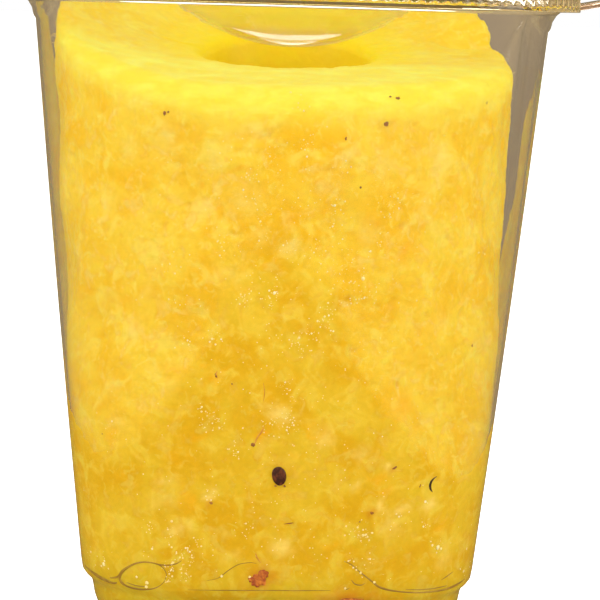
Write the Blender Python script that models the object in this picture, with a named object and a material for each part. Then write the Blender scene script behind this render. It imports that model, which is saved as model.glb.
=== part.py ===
"""A peeled and cored pineapple packed in a clear rounded-square tub with a tight lid.

Units are metres, +Z is up. The origin is the middle of the tub's flat base, the side that
faces the buyer looks along -Y, and the lid's pull tab points along +X.
"""

import math
import random

import bmesh
import bpy

MM = 0.001

# Tub: heights are above the surface it stands on, half widths are across the flats.
FOOT_HEIGHT = 7.5 * MM  # the narrower foot that nests in the lid of the tub below
FLANGE_UNDER = 121.6 * MM  # underside of the rolled flange round the mouth
FLANGE_TOP = 122.3 * MM
FLANGE_HALF = 53.4 * MM
FLANGE_ROLL = 0.3 * MM  # how far its edge is rounded
FLANGE_UNDER_ROOT = (51.7 * MM, 29.6 * MM)  # half width and corner radius where it leaves the wall
FLANGE_TOP_ROOT = (51.0 * MM, 29.2 * MM)
WALL = 0.6 * MM
FLOOR_ROUND = 2.2 * MM  # how far the floor's flat ends inside the base's edge
FLOOR_CORNER_ROUND = 1.2 * MM
CORNER_STEPS = 9  # straight steps round each rounded corner

# (height, half width, corner radius) of the tub's outside, from the base up to the flange
TUB_OUTSIDE = (
    (0.0 * MM, 31.6 * MM, 17.6 * MM),
    (0.5 * MM, 33.0 * MM, 18.6 * MM),
    (1.6 * MM, 34.2 * MM, 19.4 * MM),
    (3.4 * MM, 35.1 * MM, 20.0 * MM),
    (5.4 * MM, 35.8 * MM, 20.4 * MM),
    (FOOT_HEIGHT, 36.2 * MM, 20.7 * MM),
    (8.3 * MM, 36.4 * MM, 20.9 * MM),
    (9.1 * MM, 36.9 * MM, 21.2 * MM),
    (9.8 * MM, 37.6 * MM, 21.6 * MM),
    (10.7 * MM, 38.2 * MM, 22.0 * MM),
    (12.5 * MM, 38.5 * MM, 22.1 * MM),
    (40.0 * MM, 41.4 * MM, 23.6 * MM),
    (63.0 * MM, 43.7 * MM, 24.9 * MM),
    (86.0 * MM, 45.9 * MM, 26.1 * MM),
    (117.4 * MM, 48.8 * MM, 27.7 * MM),
    (118.0 * MM, 49.2 * MM, 27.9 * MM),  # small step that the mouth's stacking line follows
    (119.4 * MM, 49.5 * MM, 28.1 * MM),
    (120.6 * MM, 50.2 * MM, 28.6 * MM),
    (121.3 * MM, 51.0 * MM, 29.2 * MM),
)

# Lid: a flat panel with a round dish in its middle, a raised rim and a skirt round the flange
LID_GAP = 0.3 * MM
PANEL_UNDER = FLANGE_TOP + LID_GAP
PANEL_CORNER = 28.8 * MM
DISH_RADIUS = 25.0 * MM
DISH_DEPTH = 9.6 * MM
DISH_STEPS = 6
RIM_INNER_HALF = 51.2 * MM
RIM_TOP = 127.6 * MM
SKIRT_HALF = 54.5 * MM
SKIRT_BOTTOM = 121.3 * MM
SKIRT_CORNER = 31.0 * MM
RIM_ROUND = 0.9 * MM
RIM_DRAFT = 0.3 * MM  # how far the rim's inner wall leans out
SKIRT_DRAFT = 0.2 * MM  # how far the skirt spreads towards its lower edge
CREST_HALF = 0.7 * MM  # half width of the flat on top of the rim
CREST_UNDER_HALF = 0.5 * MM
CREST_CORNER = 1.0 * MM  # how far the corner radius changes across the rim
CREST_UNDER_CORNER = 1.2 * MM
UNDER_DROP = 0.1 * MM

# Pull tab: a tongue on the skirt that rises a little towards its free end
TAB_REACH = 11.0 * MM
TAB_WIDTH = 22.0 * MM
TAB_THICKNESS = 1.2 * MM
TAB_RISE = math.radians(11.0)
TAB_CORNER = 6.0 * MM
TAB_CORNER_STEPS = 5
TAB_LIFT = 0.1 * MM  # above the skirt's lower edge

# Pineapple: a leaning cylinder, pressed into the tub's lower part
FRUIT_RADIUS_TOP = 45.3 * MM
FRUIT_RADIUS_MID = 44.5 * MM
FRUIT_MID_HEIGHT = 66.0 * MM  # below it the flesh is squeezed out into the tub's corners
FRUIT_SQUEEZED_RADIUS = 48.5 * MM
PRESSED_EDGE = 0.8 * MM  # how softly the cylinder turns into the pressed face
SQUEEZE_RATE = 1.15  # how soon below that height, as a share of the flesh above it
FRUIT_BOTTOM = 1.6 * MM
FRUIT_FOOT_LEVELS = (1.6, 3.0, 5.0, 6.8, 8.0, 8.9, 9.8, 10.8, 12.2, 15.0)  # in mm, past the ledge
FRUIT_GAP = 0.4 * MM  # to the tub's inner wall, relief included
FRUIT_LEAN_TOP = -1.4 * MM  # how far the axis stands to the left at the top
FRUIT_LEAN_MID = -0.8 * MM
CUT_HEIGHT = 111.8 * MM  # of the slanted cut top, on the tub's axis
CUT_SLOPE = 0.13  # the cut falls towards the front by this much per metre
CUT_RISE = 8.5  # how fast it lifts behind the axis, per metre
CUT_SWELL = 6.2  # how fast its left edge lifts, per metre
CUT_SWELL_FROM = 15.0 * MM
CUT_STEEPER_FROM = -14.0 * MM  # behind this depth the left edge lifts faster
CUT_STEEPER_OVER = 22.0 * MM
CUT_TWIST = 4.5  # how fast its right side lifts behind the axis, per metre
CUT_TWIST_FROM = 20.0 * MM
CUT_LIMIT = 121.7 * MM  # where the lid presses the highest flesh flat
CUT_LIMIT_EDGE = 1.0 * MM  # how softly the cut turns into the flattened part
EDGE_ROUND_BACK = 2.2 * MM  # radius of the cut's worn edge behind the axis
EDGE_ROUND_FRONT = 5.0 * MM  # and right in front
EDGE_SHARES = (0.4, 0.2, 0.04)  # rings over that edge, as shares of its radius below the cut
CUT_RADII = (36.0 * MM, 27.0 * MM, 19.5 * MM)  # rings across the cut face
FOOT_ROUND = 0.97  # the lowest ring's share of the reach above it
CORE_RADIUS = 16.5 * MM
CORE_LIP = ((17.4 * MM, -0.8 * MM), (CORE_RADIUS, -2.4 * MM))  # the hole's worn lip: radius, drop
CORE_SHARES = (0.8, 0.6, 0.4, 0.2, 0.01)  # of the way up from the foot, down the hole
CORE_FOOT_RADII = (17.4 * MM, 24.0 * MM)
ANGLE_STEPS = 64
HEIGHT_STEPS = 28
RELIEF = 0.8 * MM  # depth of the coarse hollows that the peeling knife left
RELIEF_WAVES = 26
SEED = 7


def clear_scene():
    for old in list(bpy.data.objects):
        bpy.data.objects.remove(old, do_unlink=True)


def material(name, colour, roughness, metallic=0.0):
    """One Principled material with plain values."""
    mat = bpy.data.materials.new(name)
    mat.use_nodes = True
    mat.diffuse_color = (*colour, 1.0)
    shader = mat.node_tree.nodes["Principled BSDF"]
    shader.inputs["Base Color"].default_value = (*colour, 1.0)
    shader.inputs["Roughness"].default_value = roughness
    shader.inputs["Metallic"].default_value = metallic
    return mat


def add_object(name, bm, mat):
    """Closes a bmesh into a named object with outward normals."""
    bmesh.ops.recalc_face_normals(bm, faces=bm.faces)
    mesh = bpy.data.meshes.new(name)
    bm.to_mesh(mesh)
    bm.free()
    mesh.shade_smooth()
    mesh.set_sharp_from_angle(angle=math.radians(35))
    obj = bpy.data.objects.new(name, mesh)
    obj.data.materials.append(mat)
    bpy.context.scene.collection.objects.link(obj)
    return obj


def rounded_square(half, corner, height):
    """Points of a rounded square at one height, anticlockwise from the front right corner."""
    corner = min(corner, half)
    inset = half - corner
    points = []
    for quarter in range(4):
        start = math.radians(90 * quarter - 90)
        turn = start + math.radians(45)
        centre_x = inset * round(math.sqrt(2) * math.cos(turn))
        centre_y = inset * round(math.sqrt(2) * math.sin(turn))
        for step in range(CORNER_STEPS + 1):
            angle = start + math.radians(90) * step / CORNER_STEPS
            x = centre_x + corner * math.cos(angle)
            y = centre_y + corner * math.sin(angle)
            points.append((x, y, height))
    return points


def first_ring(bm, points):
    """A closed ring of vertices and edges through these points."""
    made = bmesh.ops.create_circle(bm, cap_ends=False, radius=1.0, segments=len(points))
    for vert, point in zip(made["verts"], points):
        vert.co = point
    return made["verts"], list(bm.edges)


def next_ring(bm, verts, edges, points):
    """Extrudes a ring's edges to a new ring through these points."""
    grown = bmesh.ops.extrude_edge_only(bm, edges=edges)["geom"]
    fresh = {item for item in grown if isinstance(item, bmesh.types.BMVert)}
    new_edges = [item for item in grown
                 if isinstance(item, bmesh.types.BMEdge) and fresh.issuperset(item.verts)]
    new_verts = [next(edge.other_vert(vert) for edge in vert.link_edges
                      if edge.other_vert(vert) in fresh) for vert in verts]
    for vert, point in zip(new_verts, points):
        vert.co = point
    return new_verts, new_edges


def loft(rings, capped=True):
    """Skin through all rings: capped flat at both ends, or joined from last to first."""
    bm = bmesh.new()
    verts, edges = first_ring(bm, rings[0])
    start_edges = edges
    for ring in rings[1:]:
        verts, edges = next_ring(bm, verts, edges, ring)
    if capped:
        bmesh.ops.edgeloop_fill(bm, edges=start_edges)
        bmesh.ops.edgeloop_fill(bm, edges=edges)
    else:
        bmesh.ops.bridge_loops(bm, edges=start_edges + edges)
    bmesh.ops.remove_doubles(bm, verts=bm.verts, dist=0.001 * MM)
    return bm


def tub_half_at(height):
    """Half width and corner radius of the tub's outside at one height."""
    for low, high in zip(TUB_OUTSIDE, TUB_OUTSIDE[1:]):
        if height <= high[0]:
            share = max(0.0, (height - low[0]) / (high[0] - low[0]))
            half = low[1] + share * (high[1] - low[1])
            corner = low[2] + share * (high[2] - low[2])
            return half, corner
    return TUB_OUTSIDE[-1][1], TUB_OUTSIDE[-1][2]


def make_tub():
    """Thermoformed cup: outside up to the flange, round its edge, and the inside back down."""
    outside = [rounded_square(half, corner, z) for z, half, corner in TUB_OUTSIDE]
    edge = SKIRT_CORNER - (SKIRT_HALF - FLANGE_HALF)
    flange = [
        rounded_square(*FLANGE_UNDER_ROOT, FLANGE_UNDER),
        rounded_square(FLANGE_HALF - FLANGE_ROLL, edge, FLANGE_UNDER),
        rounded_square(FLANGE_HALF, edge, (FLANGE_UNDER + FLANGE_TOP) / 2),
        rounded_square(FLANGE_HALF - FLANGE_ROLL, edge, FLANGE_TOP),
        rounded_square(*FLANGE_TOP_ROOT, FLANGE_TOP),
    ]
    inside = []
    for z, half, corner in reversed(TUB_OUTSIDE):
        if z < 2 * WALL:
            break
        inside.append(rounded_square(half - WALL, corner - WALL, z + 0.25 * WALL))
    floor_half, floor_corner = tub_half_at(WALL)
    floor = [rounded_square(floor_half - FLOOR_ROUND, floor_corner - FLOOR_CORNER_ROUND, WALL)]
    return add_object("tub", loft(outside + flange + inside + floor),
                      material("clear_plastic", (0.80, 0.82, 0.80), 0.08))


def dish_height(radius):
    """How far the panel hangs down at this distance from the dish's middle."""
    ball = (DISH_RADIUS ** 2 + DISH_DEPTH ** 2) / (2 * DISH_DEPTH)
    return math.sqrt(ball ** 2 - radius ** 2) - (ball - DISH_DEPTH)


def dish_rings(top_side):
    """Rings of the dish from its edge to its middle, on the panel's top or underside."""
    rings = []
    for step in range(DISH_STEPS):
        radius = DISH_RADIUS * (1 - step / DISH_STEPS)
        lift = WALL if top_side else 0.0
        rings.append(rounded_square(radius, radius, PANEL_UNDER - dish_height(radius) + lift))
    return rings


def make_tab():
    """Tongue with rounded corners, sunk into the skirt so that the two become one body."""
    bm = bmesh.new()
    bmesh.ops.create_cube(bm, size=1.0)
    bmesh.ops.scale(bm, vec=(TAB_REACH, TAB_WIDTH, TAB_THICKNESS), verts=bm.verts)
    bmesh.ops.translate(bm, vec=(TAB_REACH / 2, 0, TAB_THICKNESS / 2), verts=bm.verts)
    upright = [e for e in bm.edges if abs(e.verts[0].co.z - e.verts[1].co.z) > TAB_THICKNESS / 2]
    outer = [e for e in upright if e.verts[0].co.x > TAB_REACH / 2]
    bmesh.ops.bevel(bm, geom=outer, offset=TAB_CORNER, segments=TAB_CORNER_STEPS,
                    affect="EDGES", profile=0.5, material=-1)
    for vert in bm.verts:
        vert.co.z += vert.co.x * math.tan(TAB_RISE)
    root = (SKIRT_HALF - WALL / 2, 0, SKIRT_BOTTOM + TAB_LIFT)
    bmesh.ops.translate(bm, vec=root, verts=bm.verts)
    tab = add_object("tab_shape", bm, None)
    tab.hide_render = True
    tab.display_type = "WIRE"
    return tab


def make_lid():
    """Tight lid: dish and panel, raised rim, skirt, and back along the underside."""
    mid = (RIM_INNER_HALF + SKIRT_HALF) / 2
    drop = RIM_TOP - RIM_ROUND
    top = list(reversed(dish_rings(True)))
    top += [
        rounded_square(RIM_INNER_HALF - RIM_ROUND, PANEL_CORNER, PANEL_UNDER + WALL),
        rounded_square(RIM_INNER_HALF, PANEL_CORNER, PANEL_UNDER + WALL + RIM_ROUND),
        rounded_square(RIM_INNER_HALF + RIM_DRAFT, PANEL_CORNER, drop),
        rounded_square(mid - CREST_HALF, PANEL_CORNER + CREST_CORNER, RIM_TOP),
        rounded_square(mid + CREST_HALF, SKIRT_CORNER - CREST_CORNER, RIM_TOP),
        rounded_square(SKIRT_HALF - SKIRT_DRAFT, SKIRT_CORNER, drop),
        rounded_square(SKIRT_HALF, SKIRT_CORNER, SKIRT_BOTTOM),
    ]
    low = drop - UNDER_DROP
    under = [
        rounded_square(SKIRT_HALF - WALL, SKIRT_CORNER - WALL, SKIRT_BOTTOM),
        rounded_square(SKIRT_HALF - WALL - SKIRT_DRAFT, SKIRT_CORNER - WALL, low),
        rounded_square(mid + CREST_UNDER_HALF, SKIRT_CORNER - CREST_UNDER_CORNER, RIM_TOP - WALL),
        rounded_square(mid - CREST_UNDER_HALF, PANEL_CORNER + CREST_UNDER_CORNER, RIM_TOP - WALL),
        rounded_square(RIM_INNER_HALF + RIM_DRAFT + WALL, PANEL_CORNER + WALL, low),
        rounded_square(RIM_INNER_HALF + WALL, PANEL_CORNER + WALL, PANEL_UNDER + RIM_ROUND),
        rounded_square(RIM_INNER_HALF - RIM_ROUND + WALL, PANEL_CORNER, PANEL_UNDER),
    ]
    under += dish_rings(False)
    lid = add_object("lid", loft(top + under),
                     material("clear_lid", (0.84, 0.84, 0.80), 0.08))
    join = lid.modifiers.new("tab", "BOOLEAN")
    join.operation = "UNION"
    join.solver = "EXACT"
    join.object = make_tab()
    return lid


def relief_field():
    """A seeded sum of waves over angle and height: hollows and bumps of the peeled flesh."""
    draw = random.Random(SEED)
    waves = []
    for _ in range(RELIEF_WAVES):
        turns = draw.randint(2, 15)
        rise = draw.uniform(-260.0, 260.0)
        waves.append((turns, rise, draw.uniform(0, math.tau), draw.uniform(0.4, 1.0)))
    total = sum(wave[3] for wave in waves)

    def field(angle, z):
        value = sum(size * math.sin(turns * angle + rise * z + phase)
                    for turns, rise, phase, size in waves)
        return 3.0 * value / total

    return field


def wall_distance(angle, height):
    """Distance from the tub's axis to its inner wall, in one direction."""
    half, corner = tub_half_at(height)
    half -= WALL
    corner -= WALL
    inset = half - corner
    across, along = abs(math.cos(angle)), abs(math.sin(angle))
    if across < along:
        across, along = along, across
    if half * along <= inset * across:
        return half / across
    turn = inset * (across + along)
    return turn + math.sqrt(max(0.0, corner ** 2 - 2 * inset ** 2 + turn ** 2))


def blend(low, high, share):
    """Smooth step from one value to another."""
    share = min(1.0, max(0.0, share))
    share = share * share * (3 - 2 * share)
    return low + share * (high - low)


def softer_min(one, other, edge):
    """The smaller of two lengths, with a rounded change from one to the other."""
    return (one + other - math.sqrt((one - other) ** 2 + edge ** 2)) / 2


def cut_height(x, y):
    """Height of the slanted cut top."""
    behind = max(0.0, y)
    steeper = 1.0 + max(0.0, y - CUT_STEEPER_FROM) / CUT_STEEPER_OVER
    lifted = CUT_RISE * behind ** 2
    lifted += CUT_SWELL * steeper * max(0.0, -x - CUT_SWELL_FROM) ** 2
    lifted += CUT_TWIST * behind * max(0.0, x - CUT_TWIST_FROM)
    return softer_min(CUT_HEIGHT + CUT_SLOPE * y + lifted, CUT_LIMIT, CUT_LIMIT_EDGE)


def fruit_distance(angle, z, relief):
    """Distance from the tub's axis to the flesh: its own cylinder or the wall it is pressed on."""
    above = (z - FRUIT_MID_HEIGHT) / (CUT_HEIGHT - FRUIT_MID_HEIGHT)
    lean = FRUIT_LEAN_MID + max(0.0, above) * (FRUIT_LEAN_TOP - FRUIT_LEAN_MID)
    own = FRUIT_RADIUS_MID + max(0.0, above) * (FRUIT_RADIUS_TOP - FRUIT_RADIUS_MID)
    own = blend(own, FRUIT_SQUEEZED_RADIUS, -above * SQUEEZE_RATE)
    free = own + lean * math.cos(angle) + RELIEF * relief(angle, z)
    held = wall_distance(angle, z) - FRUIT_GAP
    return softer_min(free, held, PRESSED_EDGE)


def fruit_ring(low, share, relief):
    """One ring of the flesh, this share of the way from a low level to the slanted cut."""
    points = []
    for step in range(ANGLE_STEPS):
        angle = math.tau * step / ANGLE_STEPS
        z = low + share * (CUT_HEIGHT - low)
        for _ in range(3):
            reach = fruit_distance(angle, z, relief)
            x, y = reach * math.cos(angle), reach * math.sin(angle)
            z = low + share * (cut_height(x, y) - low)
        points.append((x, y, z))
    return points


def core_ring(radius, height_share, lift=0.0):
    """One ring round the hole that the corer left, between the foot and the slanted cut."""
    points = []
    for step in range(ANGLE_STEPS):
        angle = math.tau * step / ANGLE_STEPS
        x = radius * math.cos(angle) + FRUIT_LEAN_MID
        y = radius * math.sin(angle)
        top = cut_height(x, y) + lift
        points.append((x, y, FRUIT_BOTTOM + height_share * (top - FRUIT_BOTTOM)))
    return points


def shrink(ring, share):
    """A ring moved towards the axis."""
    return [(x * share, y * share, z) for x, y, z in ring]


def worn_edge(crown, share):
    """A ring over the round edge of the cut, this share of its radius below the cut face."""
    points = []
    for x, y, _ in crown:
        reach = math.hypot(x, y)
        size = blend(EDGE_ROUND_BACK, EDGE_ROUND_FRONT, -y / reach)
        inward = size * (1 - math.sqrt(1 - (1 - share) ** 2))
        x, y = x * (1 - inward / reach), y * (1 - inward / reach)
        points.append((x, y, cut_height(x, y) - share * size))
    return points


def make_pineapple():
    """Rings up the side, over the cut top, down the core and back under the foot."""
    relief = relief_field()
    levels = [level * MM for level in FRUIT_FOOT_LEVELS]
    side = [fruit_ring(level, 0.0, relief) for level in levels]
    side[0] = shrink(side[0], FOOT_ROUND)
    side += [fruit_ring(levels[-1], step / HEIGHT_STEPS, relief)
             for step in range(1, HEIGHT_STEPS + 1)]
    crown = side.pop()
    rings = side + [worn_edge(crown, share) for share in EDGE_SHARES]
    rings += [core_ring(radius, 1.0) for radius in CUT_RADII]
    rings += [core_ring(radius, 1.0, drop) for radius, drop in CORE_LIP]
    rings += [core_ring(CORE_RADIUS, share) for share in CORE_SHARES]
    rings += [core_ring(radius, 0.0) for radius in CORE_FOOT_RADII]
    return add_object("pineapple", loft(rings, capped=False),
                      material("pineapple_flesh", (0.93, 0.62, 0.04), 0.35))


clear_scene()
make_tub()
make_lid()
make_pineapple()
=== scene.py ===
import math
import random

import bmesh
import bpy
import numpy as np
from mathutils import Matrix, Vector, noise
from mathutils.bvhtree import BVHTree
from mathutils.kdtree import KDTree


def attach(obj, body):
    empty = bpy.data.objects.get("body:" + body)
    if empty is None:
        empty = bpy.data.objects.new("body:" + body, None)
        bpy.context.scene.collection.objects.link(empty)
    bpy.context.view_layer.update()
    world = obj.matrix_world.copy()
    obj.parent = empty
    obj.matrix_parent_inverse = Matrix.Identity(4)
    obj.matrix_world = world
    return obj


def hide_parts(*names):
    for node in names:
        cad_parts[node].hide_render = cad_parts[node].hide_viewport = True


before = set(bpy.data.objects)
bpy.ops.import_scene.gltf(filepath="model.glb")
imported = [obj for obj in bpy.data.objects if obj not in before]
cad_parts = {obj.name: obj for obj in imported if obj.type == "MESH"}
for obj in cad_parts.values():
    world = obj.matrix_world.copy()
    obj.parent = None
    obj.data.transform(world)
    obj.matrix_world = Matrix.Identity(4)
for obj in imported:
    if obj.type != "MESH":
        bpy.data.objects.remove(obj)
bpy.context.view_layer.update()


# ----------------------------------------
# Tub. A rounded-square cup drawn from one thin sheet of clear plastic, with a ledge over a narrower
# foot, so that empty tubs nest, and a flat flange round the mouth. The smooth walls have the faint
# waves and scuffs that drawing and handling leave.
MM = 0.001
TUB_STEPS = 480
# All in mm: the wall's thickness, how much higher the rings of its inside lie and from where they
# start, then the outside's height, half width and corner radius, from the base up to the flange.
WALL = 0.6
INSIDE_LIFT, INSIDE_FROM = 0.15, 1.2
TUB_PROFILE = (
    (0.0, 31.6, 17.6), (0.5, 33.0, 18.6), (1.6, 34.2, 19.4), (3.4, 35.1, 20.0),
    (5.4, 35.8, 20.4), (7.5, 36.2, 20.7), (8.3, 36.4, 20.9), (9.1, 36.9, 21.2),
    (9.8, 37.6, 21.6), (10.7, 38.2, 22.0), (12.5, 38.5, 22.1), (40.0, 41.4, 23.6),
    (63.0, 43.7, 24.9), (86.0, 45.9, 26.1), (117.4, 48.8, 27.7), (118.0, 49.2, 27.9),
    (119.4, 49.5, 28.1), (120.6, 50.2, 28.6), (121.3, 51.0, 29.2),
)
FLANGE_UNDER, FLANGE_TOP, FLANGE_HALF, FLANGE_CORNER = 121.6, 122.3, 53.4, 29.9
FLANGE_EDGE = 0.3
# Flange and rim are tinted golden: painted light, for the light that runs along the sheet. They lie outside
# the walls, this far from the square that the corners are rounded about.
CORNER_SQUARE, RIM_FROM, RIM_FULL = 22.4, 27.4, 28.6
MOST_BOUNCES = 4.5


def ring_mm(half, corner, height, steps):
    """Evenly spaced points of a rounded square, anticlockwise from the middle of its right side."""
    half, corner, height = half * MM, corner * MM, height * MM
    side = 2 * (half - corner)
    quarter = side + corner * math.pi / 2
    points = []
    for step in range(steps):
        turn, along = divmod(4 * quarter * step / steps + side / 2, quarter)
        if along <= side:
            x, y = half, along - side / 2
        else:
            swing = (along - side) / corner
            x = half - corner + corner * math.cos(swing)
            y = half - corner + corner * math.sin(swing)
        c, s = round(math.cos(turn * math.pi / 2)), round(math.sin(turn * math.pi / 2))
        points.append((x * c - y * s, x * s + y * c, height))
    return points


def skin(bm, rings, joined=False):
    """Closed skin through all rings: capped flat at both ends, or joined from last to first."""
    verts = bmesh.ops.create_circle(bm, cap_ends=False, radius=1.0, segments=len(rings[0]))["verts"]
    edges = start_edges = list(dict.fromkeys(edge for vert in verts for edge in vert.link_edges))
    for vert, point in zip(verts, rings[0]):
        vert.co = point
    for ring in rings[1:]:
        grown = bmesh.ops.extrude_edge_only(bm, edges=edges)["geom"]
        fresh = {item for item in grown if isinstance(item, bmesh.types.BMVert)}
        edges = [item for item in grown
                 if isinstance(item, bmesh.types.BMEdge) and fresh.issuperset(item.verts)]
        verts = [next(edge.other_vert(vert) for edge in vert.link_edges
                      if edge.other_vert(vert) in fresh) for vert in verts]
        for vert, point in zip(verts, ring):
            vert.co = point
    if joined:
        bmesh.ops.bridge_loops(bm, edges=start_edges + edges)
    else:
        bmesh.ops.edgeloop_fill(bm, edges=start_edges)
        bmesh.ops.edgeloop_fill(bm, edges=edges)


def loft(rings, joined=False):
    """The same in a bmesh of its own, without doubled points."""
    bm = bmesh.new()
    skin(bm, rings, joined)
    bmesh.ops.remove_doubles(bm, verts=bm.verts, dist=0.001 * MM)
    return bm


def add_piece(name, bm, material, sharp=35, outward=True):
    """Turns a bmesh into a smooth-shaded piece of the object, at the origin."""
    if outward:
        bmesh.ops.recalc_face_normals(bm, faces=bm.faces)
    mesh = bpy.data.meshes.new(name)
    bm.to_mesh(mesh)
    bm.free()
    mesh.shade_smooth()
    mesh.set_sharp_from_angle(angle=math.radians(sharp))
    mesh.materials.append(material)
    piece = bpy.data.objects.new(name, mesh)
    bpy.context.scene.collection.objects.link(piece)
    return piece


def emptied(shader):
    """A new material or world, with its nodes cleared."""
    shader.use_nodes = True
    shader.node_tree.nodes.clear()
    return shader


def add_node(material, kind, inputs, **settings):
    """One shader node, with its sockets set or linked."""
    node = material.node_tree.nodes.new("ShaderNode" + kind)
    for key, value in settings.items():
        setattr(node, key, value)
    for socket, value in inputs.items():
        if isinstance(value, bpy.types.NodeSocket):
            material.node_tree.links.new(value, node.inputs[socket])
        else:
            node.inputs[socket].default_value = value
    return node


def noise_value(material, scale, detail=3.0, twist=0.0, stretch=(1, 1, 1)):
    """Noise over the piece's own coordinates, in features per metre."""
    where = add_node(material, "TexCoord", {}).outputs["Object"]
    if stretch != (1, 1, 1):
        where = add_node(material, "Mapping", {"Vector": where, "Scale": stretch}).outputs[0]
    return add_node(material, "TexNoise", {
        "Vector": where, "Scale": scale, "Detail": detail, "Distortion": twist}).outputs[0]


def ramp(material, value, low, high, to_low=0.0, to_high=1.0):
    """Smooth change from one value to another between two limits."""
    return add_node(material, "MapRange", {
        "Value": value, "From Min": low, "From Max": high, "To Min": to_low, "To Max": to_high},
        interpolation_type="SMOOTHSTEP").outputs[0]


def maths(material, operation, one, other):
    return add_node(material, "Math", {0: one, 1: other}, operation=operation).outputs[0]


def bump(material, height, strength, depth):
    """A bumpy normal, with the depth in mm."""
    return add_node(material, "Bump", {
        "Height": height, "Strength": strength, "Distance": depth * MM}).outputs[0]


def finished(material, surface):
    add_node(material, "OutputMaterial", {"Surface": surface})
    return material


def mix_colours(material, share, one, other, way="MIX"):
    return add_node(material, "Mix", {0: share, 6: one, 7: other}, data_type="RGBA",
                    blend_type=way).outputs[2]


def clear_plastic(name, colour, rim_light_tint, wave, scuff, bend):
    """Clear sheet that bends what is seen through it, and lets the lamps light what is inside."""
    material = emptied(bpy.data.materials.new(name))
    # The golden rim colour is painted light on flange and rim, for the light that runs along the sheet.
    if rim_light_tint:
        spot = add_node(material, "TexCoord", {}).outputs["Object"]
        square = (CORNER_SQUARE * MM, CORNER_SQUARE * MM, 1)
        for way, other in (("ABSOLUTE", (0, 0, 0)), ("SUBTRACT", square), ("MAXIMUM", (0, 0, 0))):
            spot = add_node(material, "VectorMath", {0: spot, 1: other}, operation=way).outputs[0]
        outside = add_node(material, "VectorMath", {0: spot}, operation="LENGTH").outputs["Value"]
        painted_rim_light = ramp(material, outside, RIM_FROM * MM, RIM_FULL * MM)
        colour = mix_colours(material, painted_rim_light, colour, rim_light_tint)
    scuffs = noise_value(material, 420.0, 5.0, 1.2, (1, 1, 0.2))
    waves = noise_value(material, wave, 2.0, 0.3, (1, 1, 0.35))
    plastic = add_node(material, "BsdfPrincipled", {
        "Base Color": colour, "IOR": bend, "Transmission Weight": 1.0,
        "Roughness": ramp(material, scuffs, 0.56, 0.78, 0.015, scuff),
        "Normal": bump(material, waves, 0.35, 0.35)}).outputs[0]
    # Light for the flesh goes straight through, and so does light caught in the sheet for too long.
    straight = add_node(material, "BsdfTransparent", {"Color": (0.97, 0.97, 0.96, 1)})
    path = add_node(material, "LightPath", {}).outputs
    lit = maths(material, "MAXIMUM", path["Is Shadow Ray"], path["Is Diffuse Ray"])
    caught = maths(material, "GREATER_THAN", path["Ray Depth"], MOST_BOUNCES)
    both = add_node(material, "MixShader", {
        0: maths(material, "MAXIMUM", lit, caught), 1: plastic, 2: straight.outputs[0]})
    return finished(material, both.outputs[0])


def rings_mm(steps, rows):
    return [ring_mm(half, corner, z, steps) for half, corner, z in rows]


tub_rings = [ring_mm(half, corner, z, TUB_STEPS) for z, half, corner in TUB_PROFILE]
tub_rings += rings_mm(TUB_STEPS, (
    (51.7, 29.6, FLANGE_UNDER), (FLANGE_HALF - FLANGE_EDGE, FLANGE_CORNER, FLANGE_UNDER),
    (FLANGE_HALF, FLANGE_CORNER, (FLANGE_UNDER + FLANGE_TOP) / 2),
    (FLANGE_HALF - FLANGE_EDGE, FLANGE_CORNER, FLANGE_TOP), (51.0, 29.2, FLANGE_TOP)))
tub_rings += [ring_mm(half - WALL, corner - WALL, z + INSIDE_LIFT, TUB_STEPS)
              for z, half, corner in reversed(TUB_PROFILE) if z > INSIDE_FROM]
tub_rings.append(ring_mm(31.0, 17.0, WALL, TUB_STEPS))
tub_wall = add_piece("tub_wall", loft(tub_rings),
                     clear_plastic("tub_clear_plastic", (0.985, 0.985, 0.975, 1),
                                   (1.0, 0.88, 0.64, 1), 55.0, 0.1, 1.4))
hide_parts("tub")
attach(tub_wall, "root")


# ----------------------------------------
# Pineapple. One fruit, peeled and cored by machine, cut on a slant across the top and pushed down
# into the tub: its sides are squeezed flat on the walls and wet through where they touch, and stand
# free in the corners. The flesh is soft, fibrous and full of small pits and milky patches.
ANGLE_STEPS = 336
SIDE_STEPS = 190
FOOT_STEPS = 22
FRUIT_BOTTOM = 1.6 * MM
FOOT_TOP = 15.0 * MM
FRUIT_RADIUS_TOP = 45.3 * MM
FRUIT_RADIUS_MID = 44.5 * MM
FRUIT_MID_HEIGHT = 66.0 * MM
SQUEEZED_RADIUS = 48.5 * MM
SQUEEZE_RATE = 1.15
SQUEEZE_ROUND = 0.25 * MM
TOUCH_FROM, TOUCH_FULL = -0.5 * MM, 0.6 * MM
FOOT_ROUND, FOOT_ROUND_STEPS = 0.03, 3
LEAN_TOP = -1.4 * MM
LEAN_MID = -0.8 * MM
CUT_HEIGHT = 111.8 * MM
# The cut slopes up to the back (SLOPE, RISE), swells on the left, more so behind (SWELL, STEEPER),
# and twists up behind on the right, where a bite is torn out and the edge behind it stands.
CUT_SLOPE = 0.13
CUT_RISE = 8.5
CUT_SWELL = 6.2
CUT_SWELL_FROM = 15.0 * MM
CUT_STEEPER_FROM = -14.0 * MM
CUT_STEEPER_OVER = 22.0 * MM
CUT_TWIST = 4.5
CUT_TWIST_FROM = 20.0 * MM
BITE_FROM, BITE_FULL = 27.0 * MM, 36.0 * MM
BITE_MIDDLE, BITE_HALF, BITE_DEPTH = 12.0 * MM, 3.2 * MM, 2.3 * MM
BITE_BACK = 1.8 * MM
CUT_LIMIT, CUT_LIMIT_ROUND = 122.3 * MM, 1.0 * MM
CORE_RADIUS = 16.5 * MM
RELIEF = 0.8 * MM
RELIEF_WAVES = 26
RELIEF_SEED = 7
INTO_WALL = 0.07 * MM  # wet flesh reaches this far into the wall, so that no air shows between
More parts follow.
